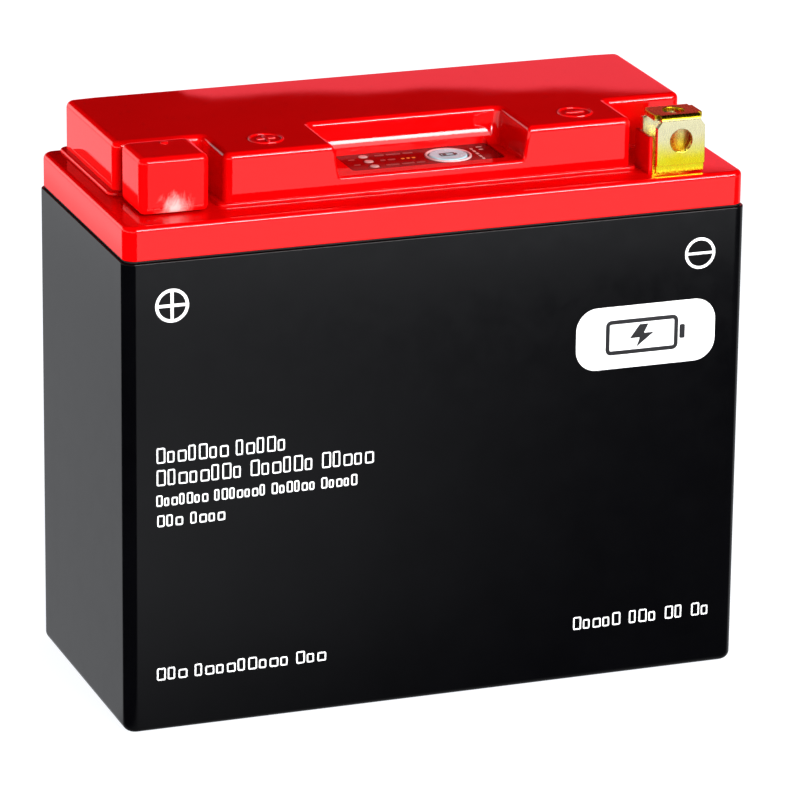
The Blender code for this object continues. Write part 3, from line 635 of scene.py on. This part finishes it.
# ======================================================================================
#  terminals and cap
# ======================================================================================
def bracket(xc, front, top):
    t, back, hw = TERM_T, front + TERM_D, TERM_W / 2
    r_out, r_in, n_arc = 1.35, 0.35, 8

    def arc(cy, cz, r, a0, a1):
        return [(cy + r * math.cos(math.radians(a0 + (a1 - a0) * k / n_arc)),
                 cz + r * math.sin(math.radians(a0 + (a1 - a0) * k / n_arc))) for k in range(n_arc + 1)]

    step = 1.75
    outer = [(front + 0.12, TERM_Z0 + step), (front, TERM_Z0 + step + 0.15)]
    outer += arc(front + r_out, top - r_out, r_out, 180, 90) + arc(back - r_out, top - r_out, r_out, 90, 0)
    outer += [(back, TERM_Z0)]
    inner = [(back - t, TERM_Z0)] + arc(back - t - r_in, top - t - r_in, r_in, 0, 90)
    inner += arc(front + t + r_in, top - t - r_in, r_in, 90, 180) + [(front + t, TERM_Z0)]
    foot = [(front + 0.62, TERM_Z0), (front + 0.5, TERM_Z0 + 0.12), (front + 0.5, TERM_Z0 + step)]
    yz = outer + inner + foot
    bm = bmesh.new()
    lo = [bm.verts.new((xc - hw, y, z)) for y, z in yz]
    hi = [bm.verts.new((xc + hw, y, z)) for y, z in yz]
    n = len(yz)
    for i in range(n):
        j = (i + 1) % n
        bm.faces.new((lo[i], lo[j], hi[j], hi[i]))
    bm.faces.new(list(reversed(lo)))
    bm.faces.new(hi)
    steps = []
    for side in (-1, 1):
        edge = xc + side * hw
        # relief notch at the front bend, with the plate's corner cut at 45 degrees below it
        y0, y1 = front - 1.0, front + 2.1
        pts = [(edge + side * 1.0, top + 1.0), (edge - side * 1.05, top + 1.0), (edge - side * 1.05, top - 1.35),
               (edge + side * 0.05, top - 2.75), (edge + side * 1.0, top - 2.75)]
        nb = bmesh.new()
        a = [nb.verts.new((x, y0, z)) for x, z in pts]
        b = [nb.verts.new((x, y1, z)) for x, z in pts]
        for i in range(5):
            j = (i + 1) % 5
            nb.faces.new((a[i], a[j], b[j], b[i]))
        nb.faces.new(list(reversed(a)))
        nb.faces.new(b)
        steps.append(cut(nb))
        x = edge + side * 0.5
        xi = edge - side * 0.75
        steps.append(cut(box(min(x, xi), max(x, xi), back - 2.2, back + 1.0, top - 2.2, top + 1)))
    steps.append(cut(y_hole(xc, top - 6.0, BOLT_HOLE_R, front - 2, front + t + 1.5)))
    steps.append(cut(turned(xc, (front + back) / 2, ((BOLT_HOLE_R - 0.2, top - 3), (BOLT_HOLE_R - 0.2, top + 2)), 48)))
    steps.append(fuse(box(xc - TAIL_W / 2, xc + TAIL_W / 2, back - t, back, TAIL_Z0, TERM_Z0 + 1)))
    steps.append(cut(y_hole(xc, 108.0, 2.3, back - t - 2, back + 2, 32)))
    bm = solid(bm, *steps)
    return round_edges(bm, lambda e: 1.0 if sharp_convex(e, 50.0) else 0.0, 0.16, 2)


piece("negative_bracket", bracket(NEG_X, NEG_FRONT, NEG_TOP), "battery", brass_mat, ("negative_terminal",), angle=30)
piece("positive_bracket", bracket(POS_X, POS_FRONT, POS_TOP), "battery", brass_mat, ("positive_terminal",), angle=30)


def cap_shell():
    w, seg = CAP_WALL, 10
    outer = rect(CAP_X0, CAP_X1, CAP_Y0, CAP_Y1, 1.9)
    inner = rect(CAP_X0 + w, CAP_X1 - w, CAP_Y0 + w, CAP_Y1 - w, 0.7)
    loops = [(outline(inner, 0.4, seg), CAP_Z1 - w), (outline(inner, 0.0, seg), CAP_Z1 - w - 0.4), (outline(inner, 0, seg), CAP_Z0)]
    for k in range(7):
        t = math.pi / 2 * k / 6
        loops.append((outline(outer, 0.75 * (1 - math.sin(t)), seg), CAP_Z0 + 1.5 * (1 - math.cos(t))))
    for k in range(9):
        t = math.pi / 2 * k / 8
        loops.append((outline(outer, 1.7 * (1 - math.cos(t)), seg), CAP_Z1 - 1.5 * (1 - math.sin(t))))
    x, y = (CAP_X0 + CAP_X1) / 2 + 1.0, -14.4
    nub = turned(x, y, ((0.9, CAP_Z1 - 0.5), (0.9, CAP_Z1 + 0.12), (0.8, CAP_Z1 + 0.28), (0.5, CAP_Z1 + 0.4)), 28)
    return solid(stack(loops), fuse(nub))


piece("terminal_cap", cap_shell(), "cap", cap_mat, ("positive_terminal_cap",), angle=40)


# ======================================================================================
#  charge indicator
# ======================================================================================
FILM_Z0, FILM_Z1 = POCKET_FLOOR + 0.03, POCKET_FLOOR + 0.33


def film():
    steps = [cut(turned(BUTTON_X, BUTTON_Y, ((BUTTON_R + 1.15, 120), (BUTTON_R + 1.15, 128)), 64))]
    for y in LED_Y:
        steps.append(cut(turned(LED_X, y, ((1.3, 120), (1.3, 128)), 32)))
    base = bevelled(rect(PANEL_X0, PANEL_X1, PANEL_Y0, PANEL_Y1, 0.9), FILM_Z0, FILM_Z1, top=0.08, seg=6, steps=2)
    return solid(base, *steps)


piece("indicator_film_plate", film(), "battery", panel_mat, ("indicator_panel",), angle=30)

rows = []
for r, z in ((BUTTON_R + 1.0, FILM_Z0), (BUTTON_R + 1.0, FILM_Z1 + 0.05)):
    rows.append([(x, y, z) for x, y in ring_pts(BUTTON_X, BUTTON_Y, r, 72)])
for k in range(1, 7):
    t = math.pi * k / 7
    rows.append([(x, y, FILM_Z1 + 0.05 + 0.22 * math.sin(t)) for x, y in
                 ring_pts(BUTTON_X, BUTTON_Y, BUTTON_R + 0.675 + 0.325 * math.cos(t), 72)])
for r, z in ((BUTTON_R + 0.35, FILM_Z1 + 0.05), (BUTTON_R + 0.35, FILM_Z0)):
    rows.append([(x, y, z) for x, y in ring_pts(BUTTON_X, BUTTON_Y, r, 72)])
piece("button_bezel_ring", band(rows), "battery", bezel_n.mat, ("button_bezel",), angle=45)

under = RECESS_FLOOR - LID_SKIN - 0.3
profile = [(1.5, 120.6), (1.5, under - 0.9), (BUTTON_R + 1.1, under - 0.9), (BUTTON_R + 1.1, under), (BUTTON_R, under),
           (BUTTON_R, FILM_Z1 - 0.05)]
for k in range(1, 6):
    t = math.pi / 2 * k / 5
    profile.append((BUTTON_R - 0.35 * (1 - math.cos(t)), FILM_Z1 - 0.05 + 0.35 * math.sin(t)))
profile += [(BUTTON_R - 0.9, FILM_Z1 + 0.27), (2.0, FILM_Z1 + 0.22)]
piece("test_button_face", turned(BUTTON_X, BUTTON_Y, profile, 72), "button", button_n.mat, ("test_button",), angle=45)

# generic battery sign on the button: outline, pole and one bar
zb0, zb1 = FILM_Z1 + 0.16, FILM_Z1 + 0.31
bx, by = BUTTON_X, BUTTON_Y
o = [(x, y, zb1) for x, y in outline(rect(bx - 2.0, bx + 1.7, by - 1.1, by + 1.1, 0.3), 0, 4)]
rows = [[(x, y, zb0) for x, y, _ in o], o]
i = outline(rect(bx - 1.65, bx + 1.35, by - 0.75, by + 0.75, 0.2), 0, 4)
rows += [[(x, y, zb1) for x, y in i], [(x, y, zb0) for x, y in i]]
piece("button_sign_frame", band(rows), "button", dark_n.mat, weighted=False)
piece("button_sign_pole", bevelled(rect(bx + 1.7, bx + 2.15, by - 0.45, by + 0.45, 0.1), zb0, zb1, top=0.03, seg=3, steps=1),
      "button", dark_n.mat, weighted=False)
piece("button_sign_bar", bevelled(rect(bx - 1.3, bx - 0.5, by - 0.5, by + 0.5, 0.1), zb0, zb1, top=0.03, seg=3, steps=1),
      "button", dark_n.mat, weighted=False)

for k, y in enumerate(LED_Y):
    profile = [(1.8, IBOARD_Z1 + 0.3), (1.8, IBOARD_Z1 + 1.8), (1.1, IBOARD_Z1 + 1.8), (1.1, FILM_Z1 + 0.02)]
    for j in range(1, 6):
        t = math.pi / 2 * j / 6
        profile.append((1.1 * math.cos(t), FILM_Z1 + 0.02 + 0.22 * math.sin(t)))
    piece("light_pipe_%d" % (k + 1), turned(LED_X, y, profile, 32), "battery", led_n.mat,
          ("indicator_light_%d" % (k + 1),), angle=45)


def film_bars(name, bars, mat):
    """Blank printed bars on the film, one mesh: (x0, x1, y centre, height)."""
    out = bmesh.new()
    for x0, x1, y, h in bars:
        one = bevelled(rect(x0, x1, y - h / 2, y + h / 2, min(h, x1 - x0) * 0.3), FILM_Z1 - 0.05, FILM_Z1 + 0.035, seg=3)
        me = bpy.data.meshes.new("temp")
        one.to_mesh(me)
        one.free()
        out.from_mesh(me)
        bpy.data.meshes.remove(me)
    return piece(name, out, "battery", mat, weighted=False)


film_bars("film_dim_bars", [(-7.4, -5.2, -8.9, 0.7), (-4.6, -1.2, -8.9, 0.7), (-0.6, 1.8, -8.9, 0.7),
                            (-7.4, -6.2, -12.8, 0.8), (-5.6, -3.8, -12.8, 0.8), (-7.4, -4.2, -16.8, 0.7), (-3.6, -0.6, -16.8, 0.7),
                            (0.0, 2.0, -16.8, 0.7), (-14.4, -12.9, -10.6, 0.5), (-14.4, -12.9, -14.8, 0.5)], dim_n.mat)
film_bars("film_amber_bars", [(-2.4, -1.6, -12.9, 0.8), (-1.1, -0.3, -12.9, 0.8), (0.2, 1.0, -12.9, 0.8)], amber_n.mat)
film_bars("film_pale_bars", [(15.4, 16.0, -10.3, 1.1), (15.4, 16.0, -12.2, 1.3), (15.4, 16.0, -14.3, 1.3), (15.4, 16.0, -16.4, 1.5),
                             (15.4, 16.0, -18.3, 1.0), (17.2, 18.6, -9.2, 0.5), (17.2, 18.2, -11.2, 0.5)], mark_n.mat)


# ======================================================================================
#  printing on the front of the case
# ======================================================================================
def face_front(bm, proud=0.035, sunk=0.03):
    """Turns a flat shape drawn in x, y (as x, z on the case) with z 0..1 into a thin print."""
    for v in bm.verts:
        x, z, h = v.co
        v.co = (x, FRONT_Y + sunk - (sunk + proud) * h, z)
    return bm


def joined(parts):
    out = bmesh.new()
    for one in parts:
        me = bpy.data.meshes.new("temp")
        one.to_mesh(me)
        one.free()
        out.from_mesh(me)
        bpy.data.meshes.remove(me)
    return out


def flat_ring(x, z, r_in, r_out, seg=72):
    rows = [[(a, b, h) for a, b in ring_pts(x, z, r, seg)] for r, h in ((r_out, 0), (r_out, 1), (r_in, 1), (r_in, 0))]
    return band(rows)


def front_piece(name, bm, mat):
    return piece(name, face_front(bm), "battery", mat, angle=40, weighted=False)


def sign(name, x, z, r, ring, bar, minus):
    parts = [fuse(stack([(outline(rect(x - r + ring / 2, x + r - ring / 2, z - bar / 2, z + bar / 2, 0.02), 0, 1), h) for h in (0.0, 1.0)]))]
    if not minus:
        parts.append(fuse(stack([(outline(rect(x - bar / 2, x + bar / 2, z - r + ring / 2, z + r - ring / 2, 0.02), 0, 1), h)
                                 for h in (0.0, 1.0)])))
    return front_piece(name, solid(flat_ring(x, z, r - ring, r), *parts), ink_mat)


sign("print_plus", -63.85, 101.7, 3.95, 0.74, 0.74, False)
sign("print_minus", 63.6, 101.8, 3.75, 0.66, 0.62, True)


def blank_words(name, x0, x1, z, height, words, gap):
    """A line of blank print: each word is a row of plain open cells, so nothing can be read."""
    units = sum(words) + gap * (len(words) - 1)
    pitch = (x1 - x0) / units
    parts = []
    x = x0
    count = 0
    for w in words:
        for k in range(w):
            count += 1
            tall = (count * 7 + w) % 5 in (0, 2)
            wide = 0.62 + 0.14 * ((count * 3) % 2)
            h = height if tall or k == 0 else height * 0.74
            cell = rect(x, x + pitch * (wide + 0.06), z, z + h, 0.40)
            parts.append(band([[(a, b, t) for a, b in outline(cell, d, 3)] for d, t in ((0.0, 0.0), (0.0, 1.0), (0.36, 1.0), (0.36, 0.0))]))
            x += pitch
        x += pitch * gap
    return front_piece(name, joined(parts), ink_mat)


blank_words("print_line_1", -67.6, -36.4, 64.75, 3.7, (7, 5), 0.5)
blank_words("print_line_2", -67.6, -15.3, 59.4, 3.8, (8, 6, 5), 0.6)
blank_words("print_line_3", -67.7, -19.4, 54.5, 2.7, (7, 7, 6, 5), 0.6)
blank_words("print_line_4", -67.5, -51.0, 49.6, 2.8, (3, 4), 0.6)
blank_words("print_line_5", -67.7, -26.5, 12.5, 3.0, (3, 9, 3), 0.5)
blank_words("print_line_6", 34.1, 68.9, 12.5, 3.2, (5, 3, 2, 2), 0.7)

# blank badge: white rounded plate with a dark battery sign and a bolt
front_piece("badge_plate", bevelled(rect(33.3, 67.8, 75.9, 90.9, 5.2), 0, 1, seg=12), ink_mat)


def on_badge(bm):
    for v in bm.verts:
        x, z, h = v.co
        v.co = (x, FRONT_Y - 0.02 - 0.045 * h, z)
    return bm


bx0, bx1, bz0, bz1 = 40.6, 58.6, 79.2, 87.6
rows = [[(a, b, 0) for a, b in outline(rect(bx0, bx1, bz0, bz1, 1.4), 0, 6)], [(a, b, 1) for a, b in outline(rect(bx0, bx1, bz0, bz1, 1.4), 0, 6)],
        [(a, b, 1) for a, b in outline(rect(bx0, bx1, bz0, bz1, 1.4), 1.0, 6)], [(a, b, 0) for a, b in outline(rect(bx0, bx1, bz0, bz1, 1.4), 1.0, 6)]]
piece("badge_sign_frame", on_badge(band(rows)), "battery", ink_dark_n.mat, weighted=False)
piece("badge_sign_pole", on_badge(bevelled(rect(bx1 + 0.35, bx1 + 1.7, 81.7, 85.1, 0.4), 0, 1, seg=4)), "battery", ink_dark_n.mat,
      weighted=False)
cx, cz = (bx0 + bx1) / 2, (bz0 + bz1) / 2
bolt = [(-0.6, 2.7), (-3.0, -0.5), (-0.55, -0.5), (-1.3, -2.7), (3.0, 0.55), (0.5, 0.55), (1.6, 2.7)]
bolt = [(cx + x, cz + z) for x, z in bolt]
piece("badge_sign_bolt", on_badge(stack([(bolt, 0.0), (bolt, 1.0)])), "battery", ink_dark_n.mat, weighted=False)


# ======================================================================================
#  floor, light, camera
# ======================================================================================
def stage_material():
    m = bpy.data.materials.new("stage_floor")
    m.use_nodes = True
    t = m.node_tree
    t.nodes.clear()
    out = t.nodes.new("ShaderNodeOutputMaterial")
    add = t.nodes.new("ShaderNodeAddShader")
    dif = t.nodes.new("ShaderNodeBsdfDiffuse")
    em = t.nodes.new("ShaderNodeEmission")
    em.inputs["Color"].default_value = (0.94, 0.96, 1.0, 1)
    path = t.nodes.new("ShaderNodeLightPath")
    coord = t.nodes.new("ShaderNodeTexCoord")
    sep = t.nodes.new("ShaderNodeSeparateXYZ")
    t.links.new(coord.outputs["Object"], sep.inputs[0])

    def m_(op, a, b=0.0, c=0.0):
        n = t.nodes.new("ShaderNodeMath")
        n.operation = op
        for i, v in enumerate((a, b, c)):
            if isinstance(v, (int, float)):
                n.inputs[i].default_value = v
            else:
                t.links.new(v, n.inputs[i])
        return n.outputs[0]

    def ramp(v, a, b, c, d):
        n = t.nodes.new("ShaderNodeMapRange")
        n.interpolation_type = "SMOOTHSTEP"
        for key, x in zip(("From Min", "From Max", "To Min", "To Max"), (a, b, c, d)):
            n.inputs[key].default_value = x
        t.links.new(v, n.inputs["Value"])
        return n.outputs["Result"]

    # what glossy surfaces see of the floor: a pale sweep in front on the right and behind on the left,
    # dark towards the front left corner and close to the foot of the case
    X, Y = sep.outputs["X"], sep.outputs["Y"]
    away = m_("MULTIPLY", Y, -1.0)
    side = m_("SUBTRACT", X, m_("SUBTRACT", m_("MULTIPLY", away, 0.65), 0.100))
    front = m_("MULTIPLY", m_("MULTIPLY", ramp(side, -0.110, 0.120, 0.98, 0.06), ramp(away, 0.15, 0.33, 1.0, 0.70)), ramp(away, 0.02, 0.12, 0.55, 1.0))
    front = m_("MAXIMUM", front, ramp(away, 0.335, 0.352, 0.0, 1.12))
    edge = m_("SUBTRACT", X, m_("ADD", m_("MULTIPLY", away, 0.14), -0.0796))
    front = m_("MULTIPLY", front, ramp(edge, -0.006, 0.006, 0.0, 1.0))
    front = m_("MULTIPLY", front, ramp(away, 0.030, 0.036, 0.0, 1.0))
    cut_l = m_("ADD", X, m_("ADD", m_("MULTIPLY", Y, 0.67), 0.0971))
    left = m_("ADD", 0.54, ramp(X, -0.182, -0.192, 0.0, 0.23))
    left = m_("MULTIPLY", left, m_("MULTIPLY", ramp(cut_l, -0.004, 0.008, 0.0, 1.0), ramp(Y, -0.036, -0.030, 0.0, 1.0)))
    glossy = m_("MAXIMUM", front, left)
    strength = m_("ADD", m_("MULTIPLY", path.outputs["Is Camera Ray"], 0.95), m_("MULTIPLY", path.outputs["Is Glossy Ray"], glossy))
    t.links.new(strength, em.inputs["Strength"])
    t.links.new(m_("MULTIPLY", m_("SUBTRACT", 1.0, path.outputs["Is Glossy Ray"]), 0.26), dif.inputs["Color"])
    t.links.new(dif.outputs[0], add.inputs[0])
    t.links.new(em.outputs[0], add.inputs[1])
    clear = t.nodes.new("ShaderNodeBsdfTransparent")
    geo = t.nodes.new("ShaderNodeNewGeometry")
    seen = t.nodes.new("ShaderNodeMixShader")
    t.links.new(geo.outputs["Backfacing"], seen.inputs[0])
    t.links.new(add.outputs[0], seen.inputs[1])
    t.links.new(clear.outputs[0], seen.inputs[2])
    t.links.new(seen.outputs[0], out.inputs["Surface"])
    m.cycles.emission_sampling = "NONE"
    return m


bm = bmesh.new()
bmesh.ops.create_grid(bm, x_segments=8, y_segments=8, size=3.0)
me = bpy.data.meshes.new("stage_floor")
bm.to_mesh(me)
bm.free()
floor = bpy.data.objects.new("stage_floor", me)
floor.location = (0, 0, -0.0002)
me.materials.append(stage_material())
SCENE.collection.objects.link(floor)

world = bpy.data.worlds.new("studio")
SCENE.world = world
world.use_nodes = True
wt = world.node_tree
bg = wt.nodes["Background"]
wpath = wt.nodes.new("ShaderNodeLightPath")


def wmath(op, a, b):
    n = wt.nodes.new("ShaderNodeMath")
    n.operation = op
    for i, v in enumerate((a, b)):
        if isinstance(v, (int, float)):
            n.inputs[i].default_value = v
        else:
            wt.links.new(v, n.inputs[i])
    return n.outputs[0]


wcoord = wt.nodes.new("ShaderNodeTexCoord")
wsep = wt.nodes.new("ShaderNodeSeparateXYZ")
wt.links.new(wcoord.outputs["Generated"], wsep.inputs[0])


def wramp(v, a, b, c, d):
    n = wt.nodes.new("ShaderNodeMapRange")
    n.interpolation_type = "SMOOTHSTEP"
    for key, x in zip(("From Min", "From Max", "To Min", "To Max"), (a, b, c, d)):
        n.inputs[key].default_value = x
    wt.links.new(v, n.inputs["Value"])
    return n.outputs["Result"]


# a low pale backdrop around the table, dark above it
horizon = wmath("MULTIPLY", wramp(wsep.outputs["Z"], 0.20, 0.30, 1.0, 0.0), wramp(wsep.outputs["X"], -0.20, 0.05, 1.30, 0.02))
w_strength = wmath("ADD", wmath("MULTIPLY", wpath.outputs["Is Camera Ray"], 1.0),
                   wmath("ADD", wmath("MULTIPLY", wpath.outputs["Is Diffuse Ray"], 0.09), wmath("MULTIPLY", wpath.outputs["Is Glossy Ray"], horizon)))
wt.links.new(w_strength, bg.inputs["Strength"])
bg.inputs["Color"].default_value = (1, 1, 1, 1)
world.cycles.sampling_method = "NONE"


def area(name, direction, distance, size, power, colour=(1, 1, 1), glossy=True, target=(0, 0, 0.075)):
    data = bpy.data.lights.new(name, "AREA")
    data.shape = "RECTANGLE"
    data.size, data.size_y = size
    data.energy = power
    data.color = colour
    ob = bpy.data.objects.new(name, data)
    d = Vector(direction).normalized()
    ob.location = Vector(target) + d * distance
    ob.rotation_euler = d.to_track_quat("Z", "Y").to_euler()
    SCENE.collection.objects.link(ob)
    ob.visible_camera = False
    ob.visible_glossy = glossy
    return ob


area("key_front_right", (0.33, -0.81, 0.486), 1.0, (0.80, 0.18), 11.0)
area("top_soft", (0.33, -0.69, 0.644), 1.0, (0.80, 0.25), 2.1)
area("fill_front_low", (0.02, -1.0, 0.09), 1.2, (1.0, 0.5), 18.5, glossy=False)
area("side_left", (-1.0, 0.12, 0.02), 1.1, (0.5, 0.2), 18.5, glossy=False)
area("side_right", (1.0, 0.10, 0.25), 1.2, (0.8, 0.4), 7.3, glossy=False)
area("rear_soft", (0.1, 1.0, 0.20), 1.3, (0.9, 0.4), 7.0, glossy=False)

# low tinted reflector behind the object: the rear of the lid's top mirrors its upper edge
steps = 48
top = []
for k in range(steps + 1):
    x = -0.05 + 0.36 * k / steps
    top.append((x, 0.30, 0.2131 + 0.03 * (x - 0.053) + 0.29 * (x - 0.053) ** 2 + 0.0004 * math.sin(143.0 * x) - 0.5 * max(0.0, 0.050 - x)))
bm = bmesh.new()
rows = [[bm.verts.new((x, y, 0.100)) for x, y, z in top], [bm.verts.new(p) for p in top]]
for k in range(steps):
    bm.faces.new((rows[0][k], rows[0][k + 1], rows[1][k + 1], rows[1][k]))
me = bpy.data.meshes.new("stage_reflector")
bm.to_mesh(me)
bm.free()
card = bpy.data.objects.new("stage_reflector", me)
m = bpy.data.materials.new("stage_reflector")
m.use_nodes = True
m.node_tree.nodes.clear()
em = m.node_tree.nodes.new("ShaderNodeEmission")
em.inputs["Color"].default_value = (1.0, 0.105, 0.14, 1)
em.inputs["Strength"].default_value = 1.7
o = m.node_tree.nodes.new("ShaderNodeOutputMaterial")
m.node_tree.links.new(em.outputs[0], o.inputs["Surface"])
m.cycles.emission_sampling = "NONE"
me.materials.append(m)
SCENE.collection.objects.link(card)
for flag in ("visible_camera", "visible_diffuse", "visible_shadow", "visible_transmission", "visible_volume_scatter"):
    setattr(card, flag, False)

# camera at the viewing angle of the reference
az, el, roll = math.radians(-20.2), math.radians(18.63), math.radians(0.65)
back = Vector((math.sin(az) * math.cos(el), -math.cos(az) * math.cos(el), math.sin(el)))
right = Vector((math.cos(az), math.sin(az), 0))
up = back.cross(right)
r2 = math.cos(roll) * right + math.sin(roll) * up
u2 = -math.sin(roll) * right + math.cos(roll) * up
cam_data = bpy.data.cameras.new("camera")
cam_data.sensor_width = 36.0
cam_data.lens = 5481.22 * 36.0 / 800.0
cam_data.clip_start, cam_data.clip_end = 0.05, 20.0
cam = bpy.data.objects.new("camera", cam_data)
loc = Vector((-0.417329, -1.141752, 0.471921))
cam.matrix_world = Matrix(((r2.x, u2.x, back.x, loc.x), (r2.y, u2.y, back.y, loc.y), (r2.z, u2.z, back.z, loc.z), (0, 0, 0, 1)))
SCENE.collection.objects.link(cam)
SCENE.camera = cam

SCENE.view_settings.view_transform = "Standard"
SCENE.view_settings.look = "None"
SCENE.view_settings.exposure = 0.0
SCENE.view_settings.gamma = 1.0
